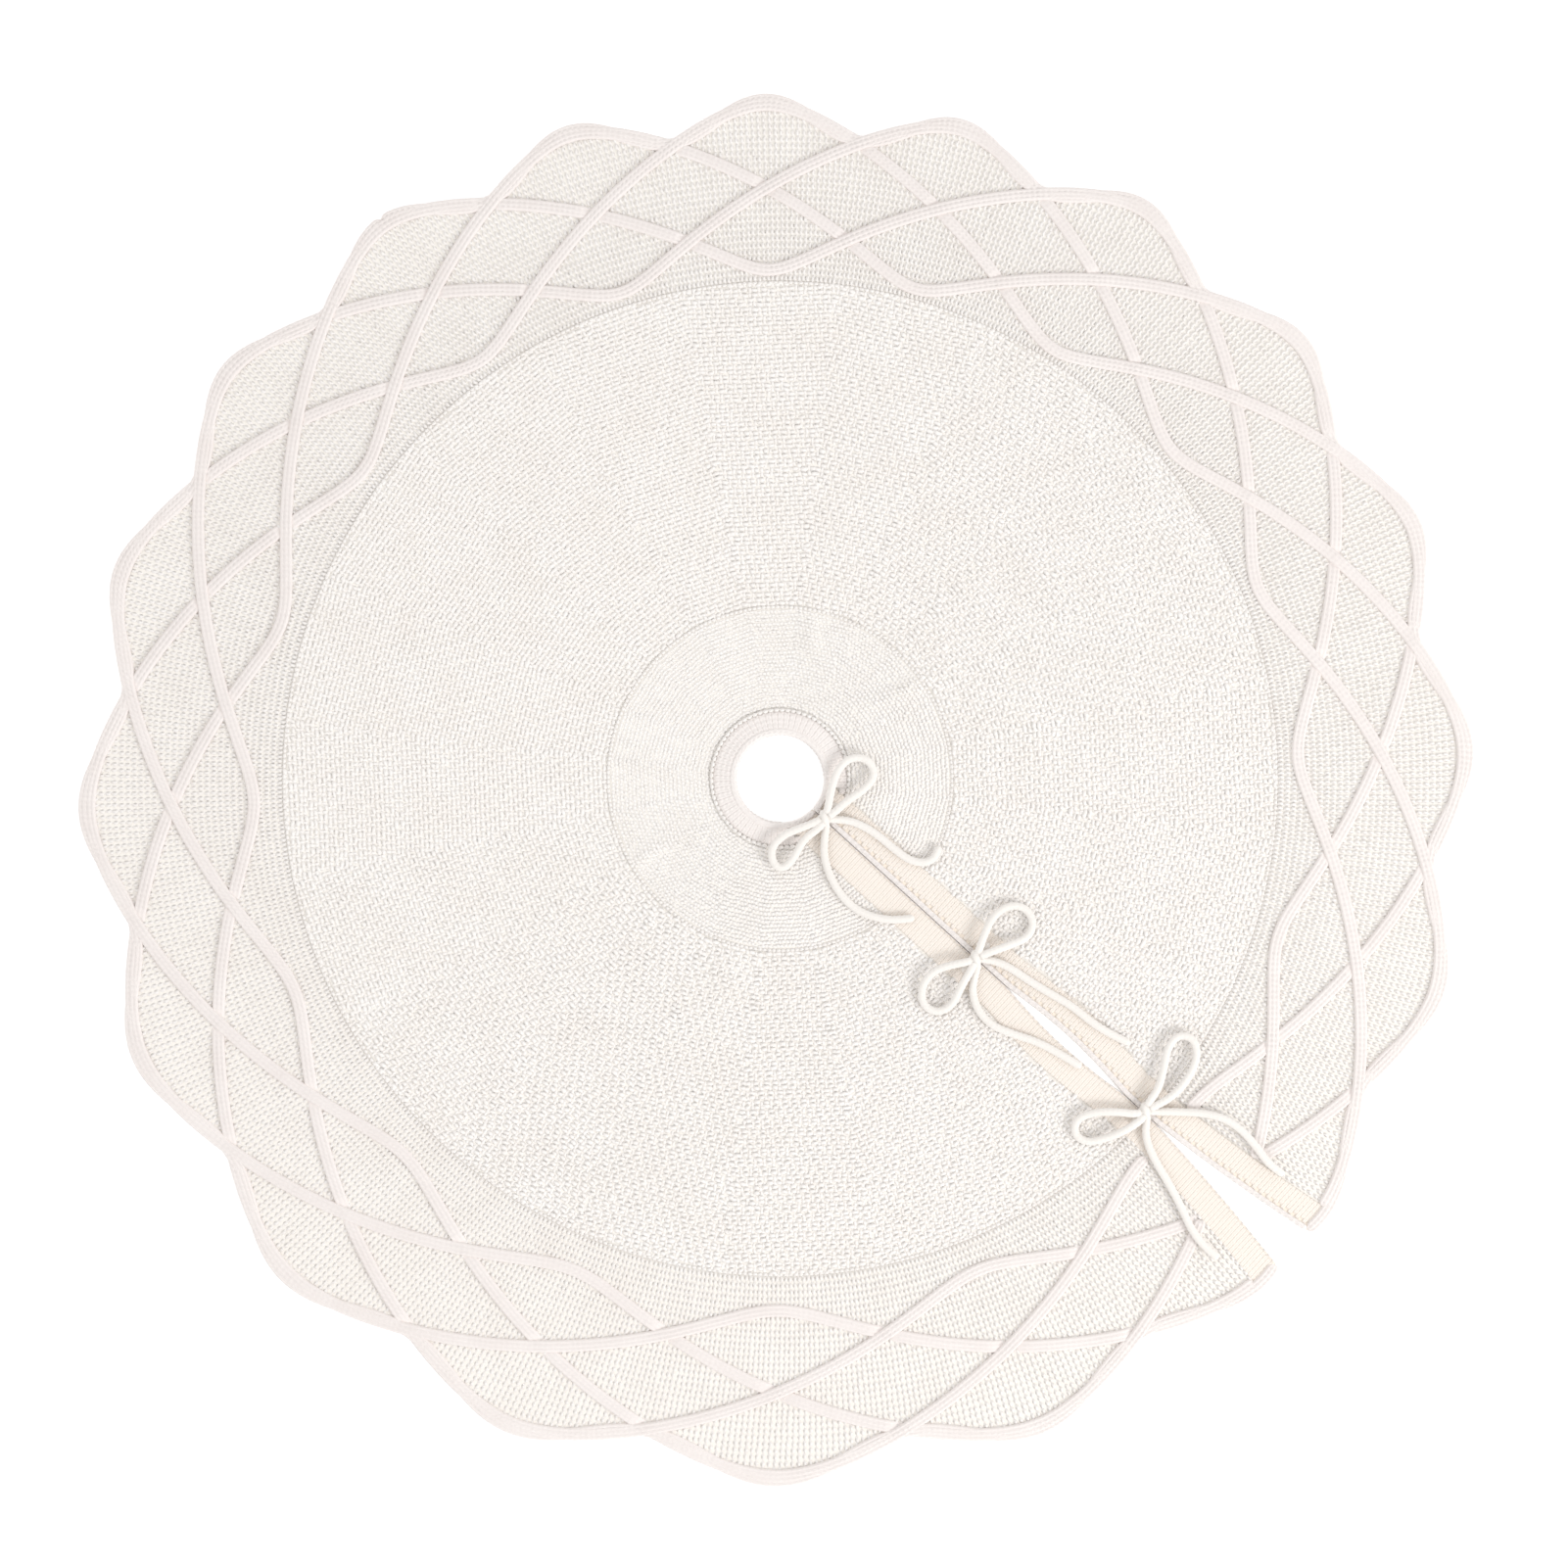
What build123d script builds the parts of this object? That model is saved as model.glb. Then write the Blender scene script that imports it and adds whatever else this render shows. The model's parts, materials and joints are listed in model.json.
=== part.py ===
"""Knitted tree skirt: a round skirt with a neck hole, a slit closed by three bows, and a scalloped
border with a crossing cable lattice.

The skirt lies on z = 0 with its neck hole's centre at the origin. The slit runs along -Y, and the
storage fold runs along X, so every ring of cloth is made as a back half and two front quarters.
"""

import os
from math import asin, cos, hypot, pi, radians, sin, tan

from build123d import *

# ---------------------------------------------------------------- driving dimensions, millimetres
neck_radius = 38.0  # hole for the trunk
collar_width = 22.0
collar_height = 7.0  # folded double
seam_width = 2.5  # linking seams between the knitted rings
seam_height = 5.5
yoke_radius = 152.0  # centre of the seam between the yoke and the main panel
yoke_height = 4.0
panel_radius = 437.0  # centre of the seam between the main panel and the border
panel_height = 5.0

scallops = 18  # pitches from one side of the slit to the other
first_tip_angle = 267.7  # degrees, before the drift below
tip_pitch = 19.59
pitch_drift = 8.1  # degrees by which the tips drift along the hem, as the knitting is stretched
pitch_drift_from = 42.5  # degrees
tip_radius = 612.6
tip_swing = 10.8  # the hem lies a little off centre
tip_swing_from = -59.7  # degrees
scallop_depth = 32.0
border_height = 4.5

cable_width = 11.0
cable_rise = 3.0
over_cable_rise = 3.6  # cables that pass over at the crossings
cable_setback = 10.0  # from a tip's edge to the middle of the cable's outer turn
lattice_depth = 145.0  # from the cables' outer turns to their inner turns
turn_roundness = 0.95
nudge = 0.01  # pitches either way, to find a cable's direction
cable_steps = 5  # places along a cable to each pitch of the scallops
hem_steps = 4  # places along the hem to each scallop

slit_gap = 0.4  # half of the gap where the two bands meet
lens_gap = 5.0  # half of the gap between the second and the third bow
lens_from, lens_to = 270.0, 412.0
wedge_from = 448.0
wedge_gap = 20.0  # half of the gap at the hem
wedge_middle_share = 0.42  # of the half gap, half way down the wedge
band_width = 26.0
band_height = 5.0
edge_roll_width = 3.5  # rolled edge of each band
edge_roll_height = 5.8

fold_gap = 1.0  # between the back half and the front quarters
cord_diameter = 5.5
knot_width, knot_depth, knot_height = 16.0, 13.0, 12.0
knot_fillet = 4.0
knot_top_fillet = 3.2
knot_places = [(1.0, -52.0), (0.0, -233.0), (2.0, -433.0)]
root_length = 9.0  # sewn start of each tie cord that shows beside its knot
root_bite = 1.0  # how far a cord's end reaches into its knot
root_fillet = 2.2
bend_share = 0.45  # of the shorter run beside a corner that its bend takes up

# Routes of the tie cords, from the knot outwards: each loop comes back to its knot, each tail ends free.
tie_routes = {
    "bow_1_left_loop": [
        (-6.3, -49.3, 13.8), (-19.0, -43.0, 14.4), (-34.0, -35.5, 14.0), (-50.0, -35.0, 12.6),
        (-59.5, -45.5, 11.6), (-55.0, -58.0, 11.0), (-40.0, -59.0, 11.6), (-22.0, -55.5, 14.0),
        (-6.3, -55.0, 14.0),
    ],
    "bow_1_right_loop": [
        (8.3, -49.2, 13.8), (24.0, -39.0, 14.4), (41.0, -31.5, 13.6), (56.0, -33.0, 12.6),
        (65.0, -45.0, 11.6), (60.0, -59.0, 10.6), (45.0, -61.5, 11.6), (26.0, -56.5, 14.0),
        (8.3, -55.0, 14.0),
    ],
    "bow_1_left_tail": [
        (-3.0, -57.8, 9.5), (-13.0, -64.5, 9.2), (-24.5, -74.5, 8.8), (-34.0, -91.0, 8.3),
        (-40.0, -110.0, 7.7),
        (-39.5, -130.0, 7.5), (-31.0, -149.0, 8.6), (-20.0, -162.0, 8.9), (-10.5, -169.5, 8.6),
    ],
    "bow_1_right_tail": [
        (4.6, -57.8, 9.5), (12.0, -66.5, 9.0), (18.0, -79.0, 8.6), (21.5, -97.0, 8.4),
        (22.0, -116.0, 8.3),
        (24.0, -133.0, 8.3), (31.5, -144.5, 8.4), (42.0, -147.5, 8.6), (51.0, -143.0, 8.4),
    ],
    "bow_2_left_loop": [
        (-7.3, -230.2, 13.8), (-19.0, -221.0, 14.0), (-34.0, -213.0, 12.2), (-50.0, -214.5, 10.4),
        (-61.5, -225.0, 9.0), (-60.0, -239.5, 8.8), (-46.0, -246.5, 9.6), (-26.0, -240.0, 13.4),
        (-7.3, -236.2, 14.0),
    ],
    "bow_2_right_loop": [
        (7.3, -230.2, 13.8), (21.0, -224.0, 13.8), (37.0, -219.5, 12.0), (53.0, -222.5, 10.0),
        (62.0, -234.0, 8.8), (59.0, -248.5, 8.8), (45.0, -255.5, 9.6), (26.0, -246.0, 13.2),
        (7.3, -236.2, 14.0),
    ],
    "bow_2_left_tail": [
        (-3.8, -238.8, 9.5), (-13.5, -243.5, 9.2), (-25.0, -251.5, 8.8), (-33.0, -266.0, 8.6),
        (-34.5, -283.0, 8.4),
        (-27.5, -302.0, 8.4), (-18.0, -322.0, 8.4), (-12.0, -345.0, 8.4), (-8.0, -366.0, 8.6),
    ],
    "bow_2_right_tail": [
        (3.8, -238.8, 9.5), (9.5, -247.5, 9.0), (14.0, -260.5, 8.6), (16.5, -279.0, 8.4),
        (21.0, -302.0, 8.4),
        (26.0, -324.0, 8.4), (27.0, -347.0, 8.5), (31.0, -367.0, 8.5), (36.0, -383.5, 8.5),
    ],
    "bow_3_left_loop": [
        (-5.3, -430.2, 13.8), (-16.0, -415.0, 14.0), (-29.0, -401.5, 12.6), (-44.0, -393.5, 10.4),
        (-56.0, -401.0, 9.2), (-54.0, -414.5, 9.0), (-41.0, -423.5, 10.8), (-24.0, -431.5, 14.4),
        (-5.3, -436.2, 14.2),
    ],
    "bow_3_right_loop": [
        (9.3, -430.2, 13.8), (24.0, -428.5, 14.0), (41.0, -419.5, 12.4), (56.0, -410.0, 11.6),
        (71.0, -409.5, 11.2), (77.5, -422.0, 11.2), (68.0, -435.0, 11.6), (50.0, -441.5, 12.6),
        (28.0, -442.5, 13.6),
        (9.3, -436.2, 13.8),
    ],
    "bow_3_left_tail": [
        (-1.8, -438.8, 9.5), (-10.5, -444.5, 9.2), (-18.5, -454.5, 8.8), (-25.5, -471.0, 8.6),
        (-31.5, -492.0, 8.6),
        (-39.0, -513.0, 9.2), (-47.5, -532.0, 11.2), (-51.5, -551.0, 11.6), (-50.5, -568.0, 11.4),
    ],
    "bow_3_right_tail": [
        (5.8, -438.8, 9.5), (13.0, -447.0, 9.2), (22.5, -458.0, 8.8), (34.5, -472.0, 11.0),
        (44.0, -489.0, 12.0),
        (46.5, -508.0, 12.2), (44.0, -528.0, 12.2), (40.0, -546.0, 11.2), (42.5, -561.0, 10.6),
    ],
}

# ---------------------------------------------------------------- places worked out from them
collar_outer = neck_radius + collar_width
margin = 40.0  # a cutting shape's reach past the hem
reach = tip_radius + tip_swing + margin


def swing(pitches):
    """How far the hem's radius is above its mean, at a place in pitches from the slit's right side."""
    return tip_swing * cos(2 * pi * pitches / scallops - radians(tip_swing_from))


def polar_point(pitches, radius):
    """The point at a place counted in pitches along the hem and a radius."""
    drift = pitch_drift * cos(2 * pi * pitches / scallops - radians(pitch_drift_from))
    angle = radians(first_tip_angle + tip_pitch * pitches + drift)
    return (radius * cos(angle), radius * sin(angle))


def edge_point(pitches):
    """The scalloped edge: a tip at each whole pitch and a valley between."""
    fall = (1 - cos(2 * pi * pitches)) / 2
    return polar_point(pitches, tip_radius + swing(pitches) - scallop_depth * fall)


def cable_point(pitches, from_turn, side_step=0.0):
    """A cable's middle line, from_turn pitches from its outer turn, moved sideways by side_step."""
    def middle(at):
        wave = asin(turn_roundness * cos(pi * (from_turn + at) / 2)) / asin(turn_roundness)
        depth = cable_setback + lattice_depth * (1 - wave) / 2
        return polar_point(pitches + at, tip_radius + swing(pitches + at) - depth)
    (x0, y0), (x1, y1) = middle(-nudge), middle(nudge)
    length = hypot(x1 - x0, y1 - y0)
    x, y = middle(0)
    return (x - side_step * (y1 - y0) / length, y + side_step * (x1 - x0) / length)


def slit_side(side, setback):
    """One side of the slit, set back from its edge, from the fold out past the hem."""
    shut = side * (slit_gap + setback)
    lens = side * (lens_gap + setback)
    wide = side * (wedge_gap + setback)
    swell = side * (wedge_gap * wedge_middle_share + setback)
    wedge_middle = (wedge_from + tip_radius) / 2
    with BuildLine() as line:
        Line((shut, -fold_gap / 2), (shut, -lens_from))
        ThreePointArc((shut, -lens_from), (lens, -(lens_from + lens_to) / 2), (shut, -lens_to))
        Line((shut, -lens_to), (shut, -wedge_from))
        ThreePointArc((shut, -wedge_from), (swell, -wedge_middle), (wide, -tip_radius))
        Line((wide, -tip_radius), (wide, -reach))
    return line.line


def strip(side, near, far):
    """The area beside the slit between two setbacks."""
    start, end = -fold_gap / 2, -reach
    with BuildSketch() as area:
        with BuildLine():
            add(slit_side(side, near))
            add(slit_side(side, far))
            Line((side * (slit_gap + near), start), (side * (slit_gap + far), start))
            Line((side * (wedge_gap + near), end), (side * (wedge_gap + far), end))
        make_face()
    return area.sketch


def cable_strand(pitches, way):
    """The area of one cable from its outer turn at a tip to its inner turn two pitches along."""
    steps = [step / cable_steps for step in range(2 * cable_steps + 1)]
    steps = [step for step in steps if 0 <= pitches + way * step <= scallops]
    if len(steps) < 2:
        return None
    one_side = [cable_point(pitches + way * s, way * s, cable_width / 2) for s in steps]
    other_side = [cable_point(pitches + way * s, way * s, -cable_width / 2) for s in steps]
    with BuildSketch() as area:
        with BuildLine():
            Polyline(*one_side, *reversed(other_side), close=True)
        make_face()
    return area.sketch


with BuildSketch() as skirt_outline:
    with BuildLine():
        hem = Spline(*[edge_point(place / hem_steps) for place in range(hem_steps * scallops + 1)])
        Line(hem @ 1, hem @ 0)
    make_face()

with BuildSketch() as back_zone:
    with Locations((0, fold_gap / 2)):
        Rectangle(2 * reach, reach, align=(Align.CENTER, Align.MIN))

zones = {
    "back": back_zone.sketch,
    "front_left": strip(-1, band_width, reach),
    "front_right": strip(1, band_width, reach),
}


def save(piece, name):
    piece.part.label = name
    export_step(piece.part, f"parts/{name}.step")


os.makedirs("parts", exist_ok=True)

# ---------------------------------------------------------------- rings of cloth and their linking seams
half_seam = seam_width / 2
rings = [
    ("neck_collar", neck_radius, collar_outer, collar_height),
    ("collar_seam", collar_outer, collar_outer + seam_width, seam_height),
    ("yoke", collar_outer + seam_width, yoke_radius - half_seam, yoke_height),
    ("yoke_seam", yoke_radius - half_seam, yoke_radius + half_seam, seam_height),
    ("main_panel", yoke_radius + half_seam, panel_radius - half_seam, panel_height),
    ("border_seam", panel_radius - half_seam, panel_radius + half_seam, seam_height),
]
for ring_name, inner, outer, height in rings:
    for zone_name, zone in zones.items():
        with BuildPart() as ring:
            with BuildSketch():
                Circle(outer)
                Circle(inner, mode=Mode.SUBTRACT)
                add(zone, mode=Mode.INTERSECT)
            extrude(amount=height)
        save(ring, f"{ring_name}_{zone_name}")

# ---------------------------------------------------------------- border with its cable lattice
turns = range(-2, scallops + 3)
over_strands = [cable_strand(turn, 1) for turn in turns]
under_strands = [cable_strand(turn, -1) for turn in turns]
over_strands = [strand for strand in over_strands if strand]
under_strands = [strand for strand in under_strands if strand]

for zone_name, zone in zones.items():
    with BuildPart() as border:
        with BuildSketch():
            add(skirt_outline.sketch)
            Circle(panel_radius + half_seam, mode=Mode.SUBTRACT)
            add(zone, mode=Mode.INTERSECT)
        extrude(amount=border_height)
        with BuildSketch(Plane.XY.offset(border_height)):
            for strand in over_strands + under_strands:
                add(strand)
            add(zone, mode=Mode.INTERSECT)
        extrude(amount=cable_rise)
        with BuildSketch(Plane.XY.offset(border_height + cable_rise)):
            for strand in over_strands:
                add(strand)
            add(zone, mode=Mode.INTERSECT)
        extrude(amount=over_cable_rise - cable_rise)
    save(border, f"border_{zone_name}")

# ---------------------------------------------------------------- bands along the slit and their rolled edges
for side, side_name in ((-1, "left"), (1, "right")):
    for piece_name, near, far, height in (
        ("slit_band", edge_roll_width, band_width, band_height),
        ("slit_edge_roll", 0.0, edge_roll_width, edge_roll_height),
    ):
        with BuildPart() as band:
            with BuildSketch():
                add(strip(side, near, far))
                Circle(neck_radius, mode=Mode.SUBTRACT)
                add(skirt_outline.sketch, mode=Mode.INTERSECT)
            extrude(amount=height)
        save(band, f"{piece_name}_{side_name}")

# ---------------------------------------------------------------- bows: knots, sewn roots, loops and tails
for number, (knot_x, knot_y) in enumerate(knot_places, start=1):
    with BuildPart() as knot:
        with BuildSketch(Plane.XY.offset(edge_roll_height)):
            with Locations((knot_x, knot_y)):
                RectangleRounded(knot_width, knot_depth, knot_fillet)
        extrude(amount=knot_height - (edge_roll_height - band_height))
        fillet(knot.edges().group_by(Axis.Z)[-1], knot_top_fillet)
    save(knot, f"bow_{number}_knot")
    root_z = edge_roll_height + cord_diameter / 2
    for side, side_name in ((-1, "left"), (1, "right")):
        knot_side = knot_x + side * (knot_width / 2 - root_bite)
        with BuildPart() as root:
            with BuildSketch(Plane(origin=(knot_side, knot_y, root_z), z_dir=(side, 0, 0))):
                Circle(cord_diameter / 2)
            extrude(amount=root_length + root_bite)
            fillet(root.faces().sort_by(Axis.X)[0 if side < 0 else -1].edges(), root_fillet)
        save(root, f"bow_{number}_{side_name}_root")

for tie_name, route in tie_routes.items():
    points = [Vector(*point) for point in route]
    runs = [b - a for a, b in zip(points, points[1:])]
    turns_deg = [a.get_angle(b) for a, b in zip(runs, runs[1:])]
    radii = [
        bend_share * min(a.length, b.length) / tan(radians(turn) / 2)
        for a, b, turn in zip(runs, runs[1:], turns_deg)
    ]
    with BuildPart() as tie:
        with BuildLine() as path:
            centre_line = FilletPolyline(*points, radius=radii)
        with BuildSketch(Plane(origin=centre_line @ 0, z_dir=centre_line % 0)):
            Circle(cord_diameter / 2)
        sweep()
    expected = pi * cord_diameter**2 / 4 * centre_line.length
    print(
        f"{tie_name}: length {centre_line.length:.0f}, tightest radius {min(radii):.1f}, "
        f"sharpest turn {max(turns_deg):.0f}, volume / expected {tie.part.volume / expected:.3f}"
    )
    save(tie, tie_name)
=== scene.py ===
"""Knitted tree skirt: cloth rings, stitches, cable lattice, ribbed bands and three tied bows.

The script is laid out as an add-on and is run as a script. It loads the part's own solids as a fixed
frame and builds the knitted skirt round them, in metres, in the same frame: the neck hole is at the
origin, the cloth lies on z = 0, the slit runs along -Y and the storage fold along X.
"""

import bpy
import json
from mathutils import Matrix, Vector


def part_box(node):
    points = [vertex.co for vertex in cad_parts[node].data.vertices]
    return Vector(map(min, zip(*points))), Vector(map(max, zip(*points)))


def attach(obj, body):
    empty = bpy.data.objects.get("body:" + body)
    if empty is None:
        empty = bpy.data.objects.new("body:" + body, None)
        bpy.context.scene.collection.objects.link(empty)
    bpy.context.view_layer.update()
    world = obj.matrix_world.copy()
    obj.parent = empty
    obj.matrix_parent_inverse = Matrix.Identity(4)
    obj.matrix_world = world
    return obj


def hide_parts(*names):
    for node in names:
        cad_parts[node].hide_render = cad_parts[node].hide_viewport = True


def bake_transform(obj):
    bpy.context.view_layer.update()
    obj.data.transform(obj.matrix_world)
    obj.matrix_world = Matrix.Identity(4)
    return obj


bl_info = {
    "name": "Knitted tree skirt",
    "version": (1, 0, 0),
    "blender": (4, 5, 0),
    "location": "3D View > Sidebar > Tree skirt",
    "description": "Builds a knitted tree skirt with a cable lattice border and tied bows",
    "category": "Object",
}

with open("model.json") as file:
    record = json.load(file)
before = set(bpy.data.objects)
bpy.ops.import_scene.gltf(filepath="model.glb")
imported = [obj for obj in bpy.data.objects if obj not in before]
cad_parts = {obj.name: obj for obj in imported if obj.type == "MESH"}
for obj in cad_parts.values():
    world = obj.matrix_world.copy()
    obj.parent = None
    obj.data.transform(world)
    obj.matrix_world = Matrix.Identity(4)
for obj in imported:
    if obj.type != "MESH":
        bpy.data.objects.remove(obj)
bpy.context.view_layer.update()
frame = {"record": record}

import json
from math import asin, cos, pi, radians, sin, tau

import bpy
import numpy as np
from bpy.props import FloatProperty, FloatVectorProperty, IntProperty, PointerProperty
from mathutils import Vector

# ------------------------------------------------------------------ places read from the frame
MOUNTS = {mount["name"]: mount for mount in frame["record"]["mounts"]}
NECK_RADIUS = MOUNTS["trunk_opening"]["dims"]["r_mm"] / 1000
COLLAR_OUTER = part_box("neck_collar_back")[1][0]
YOKE_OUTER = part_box("yoke_back")[1][0]
PANEL_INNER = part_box("yoke_seam_back")[1][0]
PANEL_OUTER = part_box("main_panel_back")[1][0]
BORDER_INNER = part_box("border_seam_back")[1][0]
COLLAR_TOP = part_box("neck_collar_back")[1][2]
YOKE_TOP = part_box("yoke_back")[1][2]
PANEL_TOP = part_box("main_panel_back")[1][2]
BAND_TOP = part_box("slit_band_right")[1][2]
SLIT_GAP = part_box("slit_edge_roll_right")[0][0]
BAND_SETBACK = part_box("main_panel_front_right")[0][0]
BAND_WIDTH = BAND_SETBACK - SLIT_GAP
CLOTH_SIDES = ("back", "front_left", "front_right")

# ------------------------------------------------------------------ the hem's scallops, as the part has them
SCALLOPS = 18
FIRST_TIP = radians(267.7)
TIP_PITCH = radians(19.59)
DRIFT, DRIFT_FROM = radians(8.1), radians(42.5)
TIP_RADIUS = 0.6126
TIP_SWING, TIP_SWING_FROM = 0.0108, radians(-59.7)
SCALLOP_DEPTH = 0.032
CABLE_WIDTH = 0.011
CABLE_SETBACK = 0.010
LATTICE_DEPTH = 0.145
CABLES = 4
PITCH_LENGTH = 0.198  # of cable, from one scallop to the next
TURN_ROUNDNESS = 0.95
BORDER_GROUND = 0.0045
SCALLOP_MEAN = TIP_RADIUS - SCALLOP_DEPTH / 2
LENS_FROM, LENS_TO, LENS_GAP = 0.270, 0.412, 0.005
WEDGE_FROM, WEDGE_GAP = 0.448, 0.020
WEDGES = 20  # the rings are knitted as this many straight-rowed wedges
STITCH_FLATNESS = 0.46
CORD_STITCH = 0.0042
BAND_STITCH = 0.0044

# ------------------------------------------------------------------ routes of the tie cords, metres
TIE_ROUTES = {
    "bow_1_left_loop": [
        (-0.0063, -0.0493, 0.0138), (-0.019, -0.043, 0.0144), (-0.034, -0.0355, 0.014),
        (-0.050, -0.035, 0.0126), (-0.0595, -0.0455, 0.0116), (-0.057, -0.056, 0.011),
        (-0.043, -0.056, 0.0116), (-0.025, -0.051, 0.014), (-0.0063, -0.055, 0.014),
    ],
    "bow_1_right_loop": [
        (0.0083, -0.0492, 0.0138), (0.024, -0.039, 0.0144), (0.041, -0.0315, 0.0136),
        (0.056, -0.033, 0.0126), (0.065, -0.045, 0.0116), (0.060, -0.059, 0.0106),
        (0.045, -0.0615, 0.0116), (0.026, -0.0565, 0.014), (0.0083, -0.055, 0.014),
    ],
    "bow_1_left_tail": [
        (-0.003, -0.0578, 0.0095), (-0.013, -0.0645, 0.0092), (-0.0245, -0.0745, 0.0088),
        (-0.034, -0.091, 0.0083), (-0.040, -0.110, 0.0077), (-0.0395, -0.130, 0.0075),
        (-0.031, -0.149, 0.0086), (-0.020, -0.162, 0.0089), (-0.0105, -0.1695, 0.0086),
    ],
    "bow_1_right_tail": [
        (0.0046, -0.0578, 0.0095), (0.012, -0.0665, 0.009), (0.018, -0.079, 0.0086),
        (0.0215, -0.097, 0.0084), (0.022, -0.116, 0.0083), (0.024, -0.133, 0.0083),
        (0.0315, -0.1445, 0.0084), (0.042, -0.1475, 0.0086), (0.051, -0.143, 0.0084),
    ],
    "bow_2_left_loop": [
        (-0.0073, -0.2302, 0.0138), (-0.019, -0.221, 0.014), (-0.034, -0.213, 0.0122),
        (-0.050, -0.2145, 0.0104), (-0.0615, -0.225, 0.009), (-0.060, -0.2395, 0.0088),
        (-0.046, -0.2465, 0.0096), (-0.026, -0.240, 0.0134), (-0.0073, -0.2362, 0.014),
    ],
    "bow_2_right_loop": [
        (0.0073, -0.2302, 0.0138), (0.021, -0.224, 0.0138), (0.037, -0.2195, 0.012),
        (0.053, -0.2225, 0.010), (0.062, -0.234, 0.0088), (0.059, -0.2485, 0.0088),
        (0.045, -0.2555, 0.0096), (0.026, -0.246, 0.0132), (0.0073, -0.2362, 0.014),
    ],
    "bow_2_left_tail": [
        (-0.0038, -0.2388, 0.0095), (-0.0135, -0.2435, 0.0092), (-0.025, -0.2515, 0.0088),
        (-0.033, -0.266, 0.0086), (-0.0345, -0.283, 0.0084), (-0.0275, -0.302, 0.0084),
        (-0.018, -0.322, 0.0084), (-0.012, -0.345, 0.0084), (-0.008, -0.366, 0.0086),
    ],
    "bow_2_right_tail": [
        (0.0038, -0.2388, 0.0095), (0.0095, -0.2475, 0.009), (0.014, -0.2605, 0.0086),
        (0.0165, -0.279, 0.0084), (0.021, -0.302, 0.0084), (0.026, -0.324, 0.0084),
        (0.027, -0.347, 0.0085), (0.031, -0.367, 0.0085), (0.036, -0.3835, 0.0085),
    ],
    "bow_3_left_loop": [
        (-0.0053, -0.4302, 0.0138), (-0.016, -0.415, 0.014), (-0.029, -0.4015, 0.0126),
        (-0.044, -0.3935, 0.0104), (-0.056, -0.401, 0.0092), (-0.054, -0.4145, 0.009),
        (-0.041, -0.4235, 0.0108), (-0.024, -0.4315, 0.0144), (-0.0053, -0.4362, 0.0142),
    ],
    "bow_3_right_loop": [
        (0.0093, -0.4302, 0.0138), (0.024, -0.4285, 0.014), (0.041, -0.4195, 0.0124),
        (0.056, -0.410, 0.0116), (0.071, -0.4095, 0.0112), (0.0775, -0.422, 0.0112),
        (0.068, -0.435, 0.0116), (0.050, -0.4415, 0.0126), (0.028, -0.4425, 0.0136),
        (0.0093, -0.4362, 0.0138),
    ],
    "bow_3_left_tail": [
        (-0.0018, -0.4388, 0.0095), (-0.0105, -0.4445, 0.0092), (-0.0185, -0.4545, 0.0088),
        (-0.0255, -0.471, 0.0086), (-0.0315, -0.492, 0.0086), (-0.039, -0.513, 0.0092),
        (-0.0475, -0.532, 0.0112), (-0.0515, -0.551, 0.0116), (-0.0505, -0.568, 0.0114),
    ],
    "bow_3_right_tail": [
        (0.0058, -0.4388, 0.0095), (0.013, -0.447, 0.0092), (0.0225, -0.458, 0.0088),
        (0.0345, -0.472, 0.011), (0.044, -0.489, 0.012), (0.0465, -0.508, 0.0122),
        (0.044, -0.528, 0.0122), (0.040, -0.546, 0.0112), (0.0425, -0.561, 0.0106),
    ],
}


# ================================================================== settings
def length(name, default, description):
    return FloatProperty(name=name, default=default, description=description, unit="LENGTH")


def colour(name, default, description):
    return FloatVectorProperty(name=name, default=default, description=description, subtype="COLOR", size=3)


class TreeSkirtSizes(bpy.types.PropertyGroup):
    """Sizes that a knitter would change."""

    yarn: length("Yarn", 0.0023, "Thickness of the yarn in a purl stitch")
    moss_pitch: length("Moss stitch pitch", 0.0041, "Distance between the panel's stitches")
    yoke_pitch: length("Yoke stitch pitch", 0.0035, "Distance between stitches in the yoke")
    border_row: length("Border row", 0.0046, "Distance between rows in the border")
    border_stitch: length("Border stitch", 0.0058, "Length of a stitch in the border")
    cable_stitch: length("Cable stitch", 0.0048, "Length of a stitch along a cable")
    rib_pitch: length("Rib pitch", 0.0038, "Distance between ribs of the slit bands")
    collar_ribs: IntProperty(name="Collar ribs", default=64, description="Ribs round the neck collar")
    cord: length("Tie cord", 0.0070, "Width of the flat tie cords")


class TreeSkirtColours(bpy.types.PropertyGroup):
    """Colours of the yarn, of its painted shade, and of the floor."""

    yarn: colour("Yarn", (0.886, 0.857, 0.833), "Colour of the yarn where light falls on it")
    # painted shade: a darker yarn colour that stands in for the shade deep between the stitches; the cloth's
    # ground slab is painted with it
    painted_shade: colour("Painted shade", (0.860, 0.822, 0.772), "Colour of the yarn deep between the stitches")
    floor: colour("Floor", (0.95, 0.95, 0.95), "Colour of the floor")


def sizes():
    return bpy.context.scene.tree_skirt_sizes


def colours():
    return bpy.context.scene.tree_skirt_colours


# ================================================================== the skirt's shape
def tip_angle(pitches):
    """Angle of a place along the hem, counted in scallop pitches from the slit's right side."""
    return FIRST_TIP + TIP_PITCH * pitches + DRIFT * np.cos(tau * pitches / SCALLOPS - DRIFT_FROM)


def tip_radius(pitches):
    return TIP_RADIUS + TIP_SWING * np.cos(tau * pitches / SCALLOPS - TIP_SWING_FROM)


def edge_radius(pitches):
    """Radius of the scalloped edge."""
    return tip_radius(pitches) - SCALLOP_DEPTH * (1 - np.cos(tau * pitches)) / 2


def pitches_at(angle):
    """The place along the hem that an angle points at, with angles running from -90 to 270 degrees."""
    places = np.linspace(-1, SCALLOPS + 1, 800)
    return np.interp(angle + tau, tip_angle(places), places)


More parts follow.
